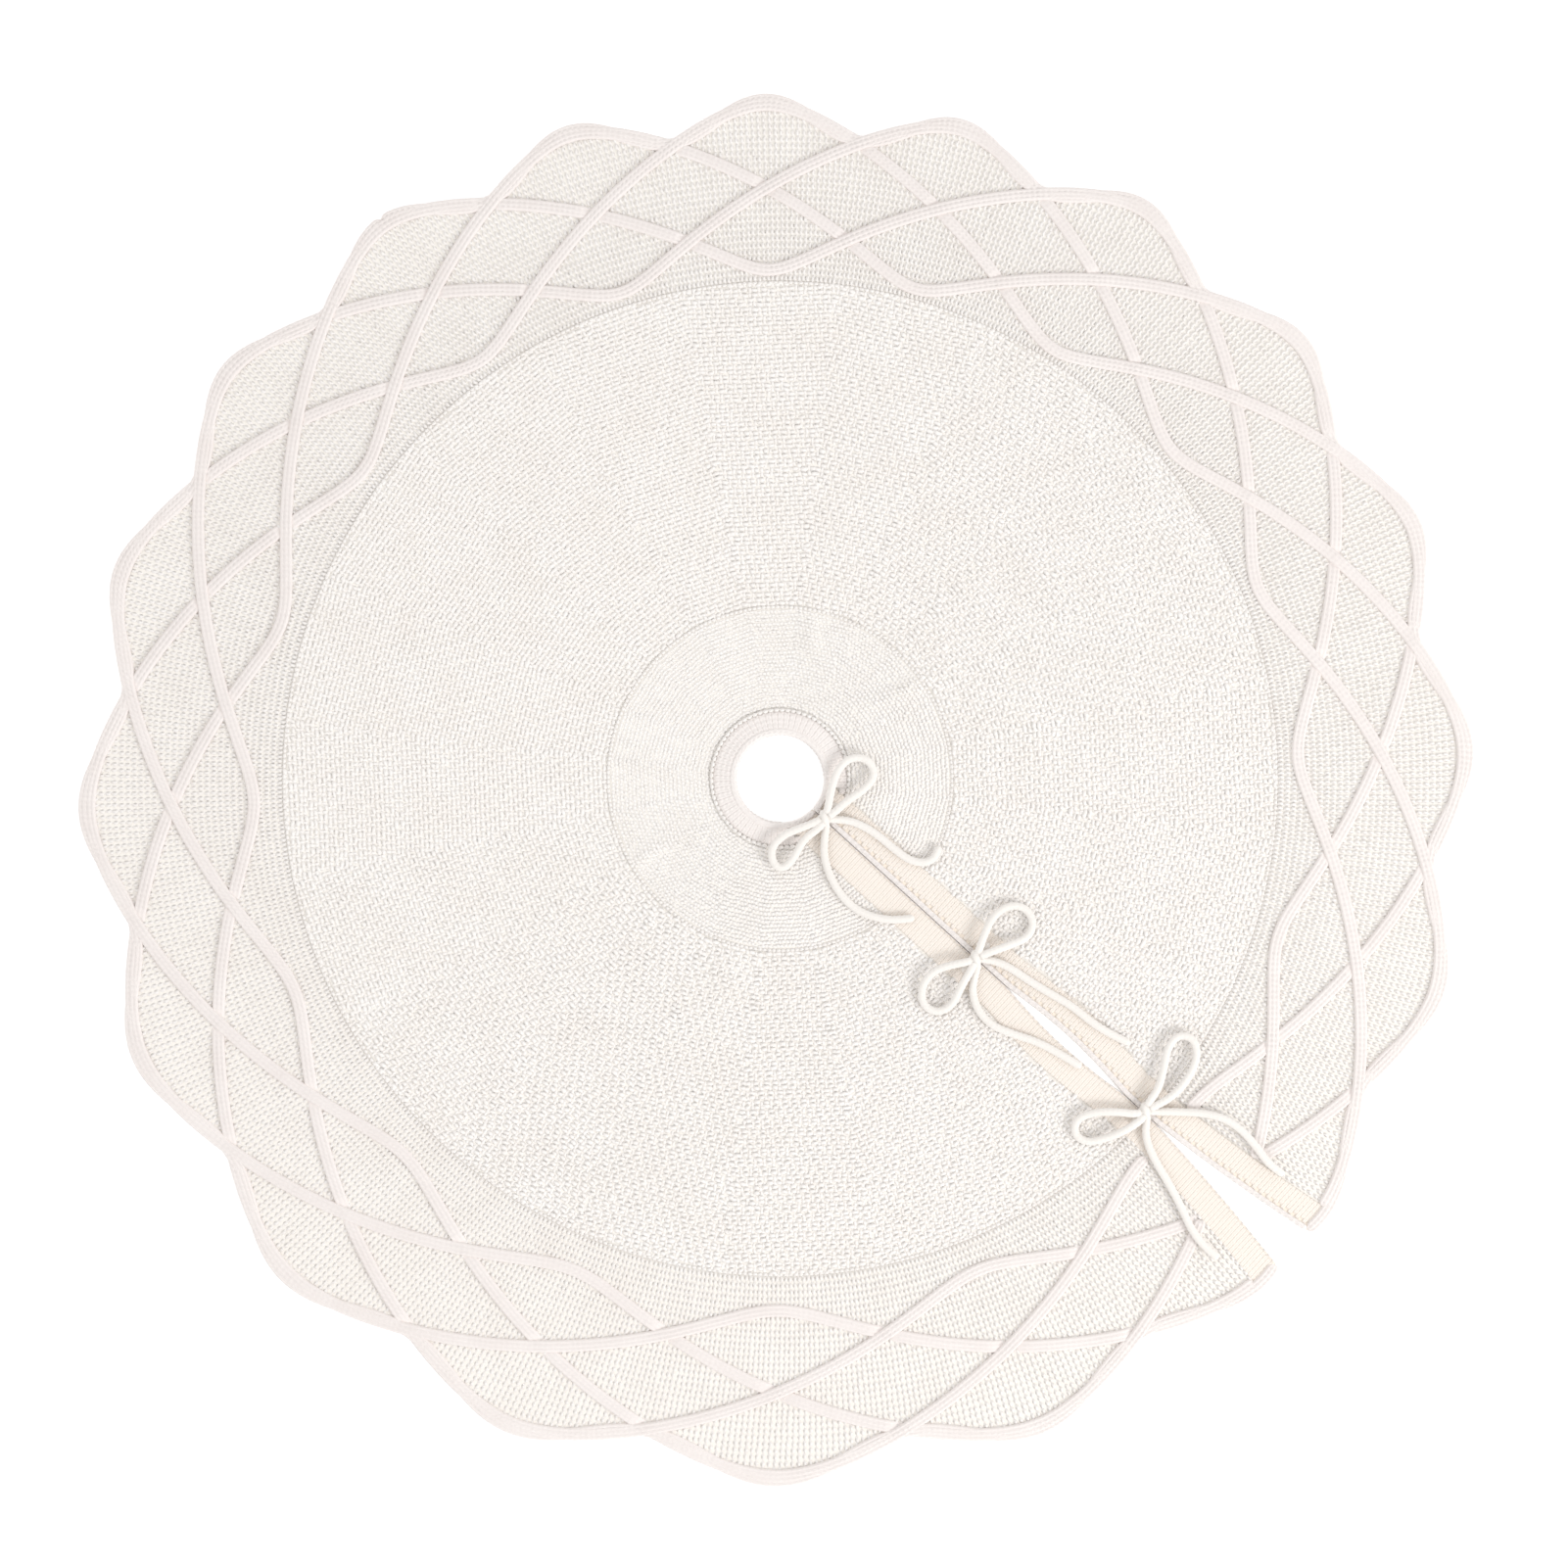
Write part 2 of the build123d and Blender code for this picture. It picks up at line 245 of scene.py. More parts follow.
def polar(radius, angle):
    return radius * np.cos(angle), radius * np.sin(angle)


def angle_of(x, y):
    """Angle of a place, from -90 to 270 degrees, so that it doesn't jump in the cloth."""
    return (np.arctan2(y, x) + pi / 2) % tau - pi / 2


def slit_half_gap(down):
    """Half of the slit's width at a distance down from the neck hole's centre."""
    down = np.asarray(down, float)
    lens = np.clip((down - LENS_FROM) / (LENS_TO - LENS_FROM), 0, 1)
    wedge = np.clip((down - WEDGE_FROM) / (TIP_RADIUS - WEDGE_FROM), 0, 1.15)
    wedge_share = 0.63 * wedge + 0.37 * wedge**2
    return SLIT_GAP + (LENS_GAP - SLIT_GAP) * np.sin(pi * lens) + (WEDGE_GAP - SLIT_GAP) * wedge_share


def sector(radius):
    """First and last angle of a ring of cloth at a radius: it runs from one slit band to the other."""
    aside = slit_half_gap(radius) + BAND_WIDTH
    down = np.sqrt(radius**2 - aside**2)
    aside = slit_half_gap(down) + BAND_WIDTH
    half = np.arcsin(aside / radius)
    return -pi / 2 + half, 3 * pi / 2 - half


CREASES = (  # x, y, direction in degrees, length, width, height
    (0.129, -0.026, -25, 0.034, 0.0075, 0.0032),
    (-0.117, 0.041, -8, 0.032, 0.0085, 0.0028),
    (0.112, 0.066, 42, 0.026, 0.008, 0.0018),
    (-0.084, 0.111, -67, 0.022, 0.007, 0.0014),
    (-0.150, -0.080, 35, 0.040, 0.012, 0.0016),
    (0.060, 0.140, 70, 0.040, 0.012, 0.0014),
)


def lift(x, y):
    """How far the cloth stands off the floor: slow waves, softer ones in the hem, and a few creases."""
    x, y = np.asarray(x, float), np.asarray(y, float)
    radius, angle = np.hypot(x, y), np.arctan2(y, x)
    slow = 0.5 + 0.5 * np.sin(13 * x + 7 * y + 1.3) * np.cos(11 * y - 5 * x + 0.4)
    fine = 0.5 + 0.5 * np.sin(5 * angle + 21 * radius)
    hem = np.clip((radius - 0.50) / 0.10, 0, 1) ** 2 * (0.5 + 0.5 * np.sin(9 * angle + 2.0))
    height = 0.0012 * slow + 0.0006 * fine + 0.0016 * hem
    for cx, cy, direction, length, width, rise in CREASES:
        along = (x - cx) * cos(radians(direction)) + (y - cy) * sin(radians(direction))
        across = -(x - cx) * sin(radians(direction)) + (y - cy) * cos(radians(direction))
        height = height + rise * np.exp(-(along / length) ** 2 - (across / width) ** 2)
    near_bows = np.clip((np.hypot(x, np.maximum(y, 0)) - 0.085) / 0.06, 0, 1)
    return height * near_bows**2 * (3 - 2 * near_bows)


# ================================================================== meshes
def new_mesh(name, points, faces, smooth=True):
    """An object at the origin with these points and faces, linked to the scene."""
    mesh = bpy.data.meshes.new(name)
    mesh.from_pydata([tuple(p) for p in np.asarray(points).tolist()], [], [tuple(f) for f in faces])
    mesh.polygons.foreach_set("use_smooth", [smooth] * len(mesh.polygons))
    mesh.update()
    thing = bpy.data.objects.new(name, mesh)
    bpy.context.scene.collection.objects.link(thing)
    return thing


def applied(thing, name):
    """Turns an object with modifiers into a plain mesh of the same name."""
    bpy.context.view_layer.update()
    seen = thing.evaluated_get(bpy.context.evaluated_depsgraph_get())
    mesh = bpy.data.meshes.new_from_object(seen)
    mesh.name = name
    mesh.polygons.foreach_set("use_smooth", [True] * len(mesh.polygons))
    old = thing.data
    bpy.data.objects.remove(thing)
    if old.users == 0:
        bpy.data.meshes.remove(old)
    plain = bpy.data.objects.new(name, mesh)
    bpy.context.scene.collection.objects.link(plain)
    return plain


def grid_faces(rows, columns, closed=False):
    """Quads of a grid of points, facing up when the columns run anticlockwise and the rows outwards."""
    i, j = np.meshgrid(np.arange(rows - 1), np.arange(columns if closed else columns - 1), indexing="ij")
    k = (j + 1) % columns
    quads = np.stack([i * columns + j, (i + 1) * columns + j, (i + 1) * columns + k, i * columns + k], -1)
    return quads.reshape(-1, 4).tolist()


def tube_faces(rows, around):
    """Faces of a closed tube of points with a cap on each end."""
    caps = [list(range(around)), list(range((rows - 1) * around, rows * around))[::-1]]
    return grid_faces(rows, around, closed=True) + caps


def cloth_slab(name, inner, outer, top, thickness, step):
    """A ring of cloth from one slit band to the other, as a closed slab that follows the cloth's lift.

    outer is a radius, or a function of the angle."""
    reach = outer(0.0) if callable(outer) else outer
    rows = max(3, int((reach - inner) / step) + 1)
    columns = int(tau * (inner + reach) / 2 / step)
    share = np.linspace(0, 1, columns)
    points = []
    for out in np.linspace(0, 1, rows):
        radius = np.full(columns, inner + out * (reach - inner))
        first, last = sector(radius)
        angle = first + share * (last - first)
        if callable(outer):
            radius = inner + out * (outer(angle) - inner)
        x, y = polar(radius, angle)
        points.append(np.stack([x, y, top + lift(x, y)], -1))
    slab = new_mesh(name, np.concatenate(points), grid_faces(rows, columns))
    # the slab's top is the ground under the stitches, painted in the darker shade colour
    slab.data.materials.append(material("cloth ground"))
    slab.data.materials.append(material("cloth back"))
    return thickened(slab, thickness, 1)


def thickened(sheet, thickness, back_material=0):
    """A closed slab that hangs down from a sheet of faces."""
    thick = sheet.modifiers.new("thickness", "SOLIDIFY")
    thick.thickness = thickness
    thick.offset = -1
    thick.material_offset = back_material
    return applied(sheet, sheet.name)


def finish(thing, finish_name, nodes):
    """Gives a piece its material and hides the nodes that it stands for."""
    if finish_name:
        thing.data.materials.clear()
        thing.data.materials.append(material(finish_name))
    if nodes:
        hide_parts(*nodes)


def finish_cloth(thing, finish_name, nodes=()):
    """A piece that lies across the storage fold."""
    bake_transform(thing)
    finish(thing, finish_name, nodes)


def finish_front(thing, finish_name, nodes=()):
    """A piece that lies on the front half only."""
    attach(thing, "front_half")
    finish(thing, finish_name, nodes)


def ring_nodes(ring):
    return [f"{ring}_{side}" for side in CLOTH_SIDES]


# ================================================================== knitted strips and cords
def along_path(points, step):
    """The same path with its points evenly step apart, and the distance along it."""
    points = np.asarray(points, float)
    travelled = np.concatenate([[0], np.cumsum(np.linalg.norm(np.diff(points, axis=0), axis=1))])
    count = max(3, int(travelled[-1] / step) + 1)
    wanted = np.linspace(0, travelled[-1], count)
    return np.stack([np.interp(wanted, travelled, points[:, axis]) for axis in range(3)], -1), wanted


def unit(vectors):
    """The same vectors, each with a length of one."""
    return vectors / np.linalg.norm(vectors, axis=1)[:, None]


def rounded(travelled, reach, least):
    """How wide a strip or cord is on its way out of a round end, as a share of its full width."""
    return np.sqrt(1 - (1 - np.clip(travelled / reach, least, 1)) ** 2)


def knit_strip(path, half_width, rise, wales, stitch, round_ends, step=None, groove=0.0009, vee=0.0005,
               sink=0.0012, rise_of=None):
    """Points and faces of a raised strip of stockinette that follows a path on the cloth.

    Its wales lie side by side with their stitches' slanting legs, and its bottom is flat and closed."""
    path, travelled = along_path(path, step or stitch / 3)
    tangent = np.gradient(path, axis=0)
    side = unit(np.stack([-tangent[:, 1], tangent[:, 0]], -1))
    across = wales * 4 + 1
    w = np.linspace(-1, 1, across)
    dome = np.sqrt(1 - w**4)
    wale = wales * (w + 1) / 2
    dent = groove * (np.abs(np.sin(pi * wale)) ** 0.5 - 1)
    slant = np.abs(2 * (wale % 1) - 1)
    taper = rounded(np.minimum(travelled, travelled[-1] - travelled), round_ends, 0.1)
    factor = taper if rise_of is None else rise_of(path) * taper
    legs = vee * np.cos(tau * (travelled[:, None] / stitch + 0.55 * slant[None, :]))
    height = dome[None, :] * (rise + dent[None, :] + legs)
    z = path[:, 2:3] - sink + factor[:, None] * (height + sink * (dome > 0))
    xy = path[:, None, :2] + side[:, None, :] * (w[None, :, None] * (half_width * taper)[:, None, None])
    return np.concatenate([xy, z[:, :, None]], -1).reshape(-1, 3), tube_faces(len(path), across)


def knit_tube(path, half_width, half_height, around=14, wales=4, vee=0.00030, groove=0.00050, across=None,
              round_start=False, round_end=False):
    """Points and faces of a soft flat cord along a path. across is its wide direction where it stands up."""
    path, travelled = along_path(path, CORD_STITCH / 3)
    tangent = unit(np.gradient(path, axis=0))
    if across is None:
        side = unit(np.cross([0.0, 0.0, 1.0], tangent))
    else:
        side = np.tile(np.asarray(across, float), (len(path), 1))
    rise = np.cross(tangent, side)
    turn = tau * np.arange(around) / around
    wale = wales * (turn / tau) + 0.5
    slant = np.abs(2 * (wale % 1) - 1)
    bulge = groove * (np.abs(np.sin(pi * wale)) ** 0.5 - 1)
    legs = vee * np.cos(tau * (travelled[:, None] / CORD_STITCH + 0.6 * slant[None, :]))
    thick = bulge[None, :] + legs
    taper = np.ones(len(path))
    if round_start:
        taper = taper * rounded(travelled, half_width, 0.06)
    if round_end:
        taper = taper * rounded(travelled[-1] - travelled, half_width, 0.06)
    wide = (half_width + thick) * taper[:, None]
    high = (half_height + thick) * taper[:, None]
    points = (path[:, None, :] + side[:, None, :] * (wide * np.cos(turn))[:, :, None]
              + rise[:, None, :] * (high * np.sin(turn))[:, :, None]).reshape(-1, 3)
    return points, [face[::-1] for face in tube_faces(len(path), around)]


def rib(path, half_width, rise, stitch, legs):
    """One knit rib along a path that may climb, as a closed strip with its stitches' legs."""
    path, travelled = path
    tangent = unit(np.gradient(path, axis=0))
    outward = (path[-1] - path[0]) * (1, 1, 0)
    side = np.cross([0, 0, 1.0], outward / np.linalg.norm(outward))
    up = np.cross(tangent, side)
    across = 9
    w = np.linspace(-1, 1, across)
    dome = np.sqrt(1 - np.abs(w) ** 2.4)
    slant = legs * np.cos(tau * (travelled[:, None] / stitch + 0.45 * np.abs(w)[None, :]))
    split = -0.0004 * np.exp(-(w / 0.25) ** 2)
    height = dome[None, :] * (rise + slant + split[None, :])
    half_width = np.broadcast_to(half_width, (len(path),))
    points = (path[:, None, :] + side[None, None, :] * (w[None, :, None] * half_width[:, None, None])
              + up[:, None, :] * height[:, :, None]).reshape(-1, 3)
    return points, tube_faces(len(path), across)


def joined(name, parts):
    """One object out of several sets of points and faces."""
    points, faces, start = [], [], 0
    for part_points, part_faces in parts:
        points.append(part_points)
        faces.extend([[corner + start for corner in face] for face in part_faces])
        start += len(part_points)
    return new_mesh(name, np.concatenate(points), faces)


# ================================================================== node trees
class Nodes:
    """Adds nodes to a tree and links their sockets, so that a tree reads as a few short lines."""

    def __init__(self, tree):
        self.tree = tree

    def add(self, kind, inputs=None, **settings):
        node = self.tree.nodes.new(kind)
        for key, value in settings.items():
            setattr(node, key, value)
        for key, value in (inputs or {}).items():
            socket = node.inputs[key]
            if isinstance(value, bpy.types.NodeSocket):
                self.tree.links.new(value, socket)
            else:
                socket.default_value = value
        return node

    def math(self, operation, first, second=0.0):
        return self.add("ShaderNodeMath", {0: first, 1: second}, operation=operation).outputs[0]


def stitch_tree(name, legs):
    """A tree that lays one stitch on every point, turned and sized by the point's own attributes.

    Each leg is three points of a bent yarn, in shares of the stitch's width, bow and rise."""
    tree = bpy.data.node_groups.new(name, "GeometryNodeTree")
    tree.is_modifier = True
    for socket, kind in (("Points", "Geometry"), ("Width", "Float"), ("Bow", "Float"), ("Rise", "Float"),
                         ("Yarn", "Float"), ("Sides", "Int"), ("Steps", "Int"), ("Material", "Material")):
        tree.interface.new_socket(socket, in_out="INPUT", socket_type=f"NodeSocket{kind}")
    tree.interface.new_socket("Stitches", in_out="OUTPUT", socket_type="NodeSocketGeometry")
    nodes = Nodes(tree)
    given = nodes.add("NodeGroupInput").outputs
    join = nodes.add("GeometryNodeJoinGeometry")
    ring = nodes.add("GeometryNodeCurvePrimitiveCircle",
                     {"Resolution": given["Sides"], "Radius": nodes.math("MULTIPLY", given["Yarn"], 0.5)})
    along = nodes.add("GeometryNodeSplineParameter").outputs["Factor"]
    swell = nodes.math("MULTIPLY_ADD", nodes.math("SINE", nodes.math("MULTIPLY", along, pi)), 0.78)
    swell.node.inputs[2].default_value = 0.22
    for leg in legs:
        ends = []
        for share_x, share_y, share_z in leg:
            place = nodes.add("ShaderNodeCombineXYZ", {
                "X": nodes.math("MULTIPLY", given["Width"], share_x),
                "Y": nodes.math("MULTIPLY", given["Bow"], share_y),
                "Z": nodes.math("MULTIPLY", given["Rise"], share_z)})
            ends.append(place.outputs[0])
        bend = nodes.add("GeometryNodeCurveQuadraticBezier", {
            "Resolution": given["Steps"], "Start": ends[0], "Middle": ends[1], "End": ends[2]})
        radius = nodes.add("GeometryNodeSetCurveRadius", {"Curve": bend.outputs[0], "Radius": swell})
        tube = nodes.add("GeometryNodeCurveToMesh", {
            "Curve": radius.outputs[0], "Profile Curve": ring.outputs[0], "Fill Caps": True,
            "Scale": nodes.add("GeometryNodeInputRadius").outputs[0]})
        tree.links.new(tube.outputs[0], join.inputs[0])
    turn = nodes.add("GeometryNodeInputNamedAttribute", {"Name": "turn"}, data_type="FLOAT_VECTOR")
    size = nodes.add("GeometryNodeInputNamedAttribute", {"Name": "size"}, data_type="FLOAT_VECTOR")
    laid = nodes.add("GeometryNodeInstanceOnPoints", {
        "Points": given["Points"], "Instance": join.outputs[0],
        "Rotation": turn.outputs["Attribute"], "Scale": size.outputs["Attribute"]})
    real = nodes.add("GeometryNodeRealizeInstances", {"Geometry": laid.outputs[0]})
    painted = nodes.add("GeometryNodeSetMaterial", {
        "Geometry": real.outputs[0], "Material": given["Material"]})
    out = nodes.add("NodeGroupOutput")
    tree.links.new(painted.outputs[0], out.inputs["Stitches"])
    return tree


PURL = [((-0.5, 0, -0.3), (0, 1.6, 2.3), (0.5, 0, -0.3))]
KNIT = [((0, -0.5, -0.2), (0, 0, 1.4), (0, 0.5, -0.2))]


def lay_stitches(name, tree, x, y, z, turn, size, **inputs):
    """One plain mesh of stitches at the places given, turned about Z and sized one by one."""
    count = len(x)
    mesh = bpy.data.meshes.new(name + "_places")
    mesh.vertices.add(count)
    mesh.vertices.foreach_set("co", np.stack([x, y, z], -1).ravel())
    turns = np.stack([np.zeros(count), np.zeros(count), turn], -1)
    for attribute, values in (("turn", turns), ("size", size)):
        mesh.attributes.new(attribute, "FLOAT_VECTOR", "POINT").data.foreach_set("vector", values.ravel())
    places = bpy.data.objects.new(name + "_places", mesh)
    bpy.context.scene.collection.objects.link(places)
    modifier = places.modifiers.new("stitches", "NODES")
    modifier.node_group = tree
    for item in tree.interface.items_tree:
        if item.item_type == "SOCKET" and item.in_out == "INPUT" and item.name in inputs:
            modifier[item.identifier] = inputs[item.name]
        if item.item_type == "SOCKET" and item.name == "Material":
            modifier[item.identifier] = material("panel yarn")
    return applied(places, name)


def wedge_lattice(inner, outer, row, pitch, place_in_row, seed):
    """Places of stitches knitted in straight rows, wedge by wedge, in a ring of cloth.

    place_in_row(rows, columns) gives the columns' shift and which of them hold a stitch."""
    random = np.random.default_rng(seed)
    wide = tau / WEDGES
    found = []
    for number in range(WEDGES):
        middle = -pi / 2 + (number + 0.5) * wide
        rows = np.arange(int(inner * cos(wide / 2) / row), int(outer / row) + 2)
        half_count = int(outer * np.tan(wide / 2) / pitch) + 1
        columns = np.arange(-half_count, half_count + 1)
        m, c = (part.ravel() for part in np.meshgrid(rows, columns, indexing="ij"))
        shift, kept = place_in_row(m, c)
        out = m * row
        aside = (c + shift) * pitch
        x = out * cos(middle) - aside * sin(middle)
        y = out * sin(middle) + aside * cos(middle)
        radius = np.hypot(x, y)
        inside = kept & (np.abs(aside) <= out * np.tan(wide / 2) + pitch * 0.3)
        inside &= (radius >= inner) & (radius <= outer)
        begin, end = sector(np.maximum(radius, inner))
        angle = angle_of(x, y)
        clear = pitch * 0.4 / np.maximum(radius, inner)
        inside &= (angle > begin + clear) & (angle < end - clear)
        found.append(np.stack([x[inside], y[inside], np.full(inside.sum(), middle + pi / 2)], -1))
    places = np.concatenate(found)
    count = len(places)
    places[:, :2] += random.normal(0, pitch * 0.075, (count, 2))
    places[:, 2] += random.normal(0, 0.15, count)
    size = 1 + random.normal(0, 0.10, (count, 3))
    return places, size


def lay_in_quarters(name, tree, slot, places, size, top, **inputs):
    """Lays stitches in four pieces, which keeps each of them small."""
    front, right = places[:, 1] < 0, places[:, 0] > 0
    for quarter, chosen in (("back_left", ~front & ~right), ("back_right", ~front & right),
                            ("front_left", front & ~right), ("front_right", front & right)):
        x, y, turn = places[chosen].T
        flatter = size[chosen] * (1, 1, STITCH_FLATNESS)
        thing = lay_stitches(f"{name}_{quarter}", tree, x, y, top + lift(x, y), turn, flatter, **inputs)
        finish_cloth(thing, None)


# ================================================================== materials
def fibre_group():
    """Soft fibres and uneven dye of the yarn: a colour and a height for each point of the surface."""
    group = bpy.data.node_groups.new("yarn fibre", "ShaderNodeTree")
    for name, kind in (("Yarn", "Color"), ("Painted shade", "Color"), ("Fibre scale", "Float"),
                       ("Patch scale", "Float")):
        group.interface.new_socket(name, in_out="INPUT", socket_type=f"NodeSocket{kind}")
    group.interface.new_socket("Colour", in_out="OUTPUT", socket_type="NodeSocketColor")
    group.interface.new_socket("Height", in_out="OUTPUT", socket_type="NodeSocketFloat")
    nodes = Nodes(group)
    given = nodes.add("NodeGroupInput").outputs
    place = nodes.add("ShaderNodeTexCoord").outputs["Object"]
    fibre = nodes.add("ShaderNodeTexNoise", {"Vector": place, "Scale": given["Fibre scale"], "Detail": 2.0})
    patch = nodes.add("ShaderNodeTexNoise", {"Vector": place, "Scale": given["Patch scale"], "Detail": 2.0})
    # the yarn's colour is mixed towards its painted shade colour in random patches of the two noises
    mixed = nodes.math("ADD", nodes.math("MULTIPLY", fibre.outputs[0], 0.5),
                       nodes.math("MULTIPLY", patch.outputs[0], 0.5))
    share = nodes.add("ShaderNodeMapRange", {"Value": mixed, "From Min": 0.25, "From Max": 0.62})
    tint = nodes.add("ShaderNodeMix", {0: share.outputs[0], 6: given["Painted shade"], 7: given["Yarn"]},
                     data_type="RGBA")
    out = nodes.add("NodeGroupOutput")
    group.links.new(tint.outputs[2], out.inputs["Colour"])
    group.links.new(fibre.outputs[0], out.inputs["Height"])
    return group


def yarn_material(name, yarn, painted_shade):
    """Matte knitted yarn."""
    group = bpy.data.node_groups.get("yarn fibre") or fibre_group()
    material = bpy.data.materials.new(name)
    material.use_nodes = True
    tree = material.node_tree
    nodes = Nodes(tree)
    shader = tree.nodes["Principled BSDF"]
    fibre = nodes.add("ShaderNodeGroup", node_tree=group)
    fibre.inputs["Yarn"].default_value = (*yarn, 1)
    fibre.inputs["Painted shade"].default_value = (*painted_shade, 1)
    fibre.inputs["Fibre scale"].default_value = 900.0
    fibre.inputs["Patch scale"].default_value = 28.0
    lumps = nodes.add("ShaderNodeBump", {
        "Height": fibre.outputs["Height"], "Strength": 0.25, "Distance": 0.0006})
    tree.links.new(fibre.outputs["Colour"], shader.inputs["Base Color"])
    tree.links.new(lumps.outputs[0], shader.inputs["Normal"])
    shader.inputs["Roughness"].default_value = 0.92
    shader.inputs["Specular IOR Level"].default_value = 0.25
    shader.inputs["Sheen Weight"].default_value = 0.25
    shader.inputs["Sheen Roughness"].default_value = 0.5
    return material


def back_material(name, yarn, painted_shade):
    """The cloth's underside, where the stitches show as flat rows of small bumps."""
    made = yarn_material(name, yarn, painted_shade)
    nodes = Nodes(made.node_tree)
    place = nodes.add("ShaderNodeTexCoord").outputs["Object"]
    cells = nodes.add("ShaderNodeTexVoronoi", {"Vector": place, "Scale": 235.0, "Randomness": 0.35},
                      feature="SMOOTH_F1")
    bump = nodes.add("ShaderNodeBump", {
        "Height": cells.outputs["Distance"], "Strength": 0.8, "Distance": 0.0014}, invert=True)
    made.node_tree.links.new(bump.outputs[0], made.node_tree.nodes["Principled BSDF"].inputs["Normal"])
    return made


FINISHES = {  # shares of the yarn's colour where light falls, and of its darker painted shade, which the fibre noise mixes in at random
    "panel yarn": ((1, 1, 1), (0.97, 0.95, 0.93)),
    "cable yarn": ((0.975, 0.945, 0.94), (0.93, 0.885, 0.875)),
    "collar yarn": ((0.975, 0.95, 0.945), (0.93, 0.90, 0.89)),
    # painted shade: the bands' yarn and ground are coloured yellower and darker than the panel, standing in
    # for the shade that the bands lie in
    "band yarn": ((0.995, 0.95, 0.90), (0.97, 0.92, 0.86)),
    "band ground": ((1.0, 0.94, 0.85), (0.97, 0.90, 0.81)),
    "tie yarn": ((0.965, 0.955, 0.935), (0.93, 0.91, 0.88)),
    "cloth back": ((0.86, 0.845, 0.815), (0.80, 0.78, 0.745)),
}


def material(name):
    """A finish of the skirt by name, made the first time it is asked for."""
    made = bpy.data.materials.get(name)
    if made:
        return made
    yarn, painted_shade = np.array(colours().yarn), np.array(colours().painted_shade)
    # painted shade: the ground between the stitches gets the darker shade colour all over, standing in for
    # the shade there
    if name == "cloth ground":
        return yarn_material(name, painted_shade * 1.02, painted_shade * 0.97)
    light, shade_share = FINISHES[name]
    make = back_material if name == "cloth back" else yarn_material
    return make(name, yarn * light, yarn * shade_share)


# ================================================================== operators
class SkirtOperator(bpy.types.Operator):
    """Shared settings of the skirt's operators."""

    bl_options = {"REGISTER", "UNDO"}


class TREESKIRT_OT_stage(SkirtOperator):
    """Camera straight above the skirt, soft light and a pale floor"""

    bl_idname = "tree_skirt.stage"
    bl_label = "Stage"

    def execute(self, context):
        scene = context.scene
        camera = bpy.data.objects.new("camera", bpy.data.cameras.new("camera"))
        scene.collection.objects.link(camera)
        height, framed = 4.0, 1.380
        camera.location = (-0.0012, -0.0057, height)
        camera.rotation_euler = (0, 0, radians(-47.5))
        camera.data.lens = camera.data.sensor_width * height / framed
        scene.camera = camera
        for name, place, power, size in (
            ("key", (0.5, -3.0, 2.1), 52, 1.1),
            ("fill", (-1.8, 2.4, 2.8), 10, 2.5),
        ):
            lamp = bpy.data.lights.new(name, "AREA")
            lamp.energy, lamp.size = power, size
            light = bpy.data.objects.new(name, lamp)
            light.location = place
            light.rotation_euler = (-Vector(place)).to_track_quat("-Z", "Y").to_euler()
            scene.collection.objects.link(light)
        scene.world = bpy.data.worlds.new("studio")
        scene.world.use_nodes = True
        sky = scene.world.node_tree.nodes["Background"]
        sky.inputs["Color"].default_value = (1.0, 1.0, 1.0, 1)
        sky.inputs["Strength"].default_value = 0.94
        scene.view_settings.view_transform = "Standard"
        half, level = 8.0, -0.0006
        corners = [(-half, -half, level), (half, -half, level), (half, half, level), (-half, half, level)]
        floor = new_mesh("floor", corners, [(0, 1, 2, 3)], smooth=False)
        paint = bpy.data.materials.new("floor")
        paint.use_nodes = True
        shader = paint.node_tree.nodes["Principled BSDF"]
        shader.inputs["Base Color"].default_value = (*colours().floor, 1)
        shader.inputs["Roughness"].default_value = 0.9
        shader.inputs["Emission Color"].default_value = (1, 1, 1, 1)
        shader.inputs["Emission Strength"].default_value = 0.25
        floor.data.materials.append(paint)
        return {"FINISHED"}


def box_of(node):
    """Lowest and highest corner, middle and half size of a node of the frame."""
    low, high = (np.array(corner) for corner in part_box(node))
    return low, high, (low + high) / 2, (high - low) / 2


def nurbs_path(points):
    """Points read from the smooth curve that has the route's points as its control points."""
    curve = bpy.data.curves.new("route", "CURVE")
    curve.dimensions = "3D"
    curve.resolution_u = 12
    spline = curve.splines.new("NURBS")
    spline.points.add(len(points) - 1)
    for point, place in zip(spline.points, points):
        point.co = (*place, 1)
    spline.order_u = 3
    spline.use_endpoint_u = True
    route = bpy.data.objects.new("route", curve)
    bpy.context.scene.collection.objects.link(route)
    bpy.context.view_layer.update()
    mesh = bpy.data.meshes.new_from_object(route.evaluated_get(bpy.context.evaluated_depsgraph_get()))
    read = np.array([vertex.co[:] for vertex in mesh.vertices])
    bpy.data.objects.remove(route)
    bpy.data.meshes.remove(mesh)
    return read


class TREESKIRT_OT_ties(SkirtOperator):
    """Loops and tails of the three bows, as knitted cords along their routes"""

    bl_idname = "tree_skirt.ties"
    bl_label = "Tie cords"

    def execute(self, context):
        width = sizes().cord
        into_knot = 0.45  # how far a cord runs on from its route's end to the knot's middle
        for name, route in TIE_ROUTES.items():
            tail = name.endswith("tail")
            middle = box_of(name[:len("bow_1")] + "_knot")[2]
            first = tuple(Vector(route[0]).lerp(middle, into_knot))
            last = [] if tail else [tuple(Vector(route[-1]).lerp(middle, into_knot))]
            path = nurbs_path([first, *route, *last])
            tie = new_mesh(name + "_cord", *knit_tube(path, width * 0.5, width * 0.33, round_end=tail))
            finish_front(tie, "tie yarn", [name])
        return {"FINISHED"}


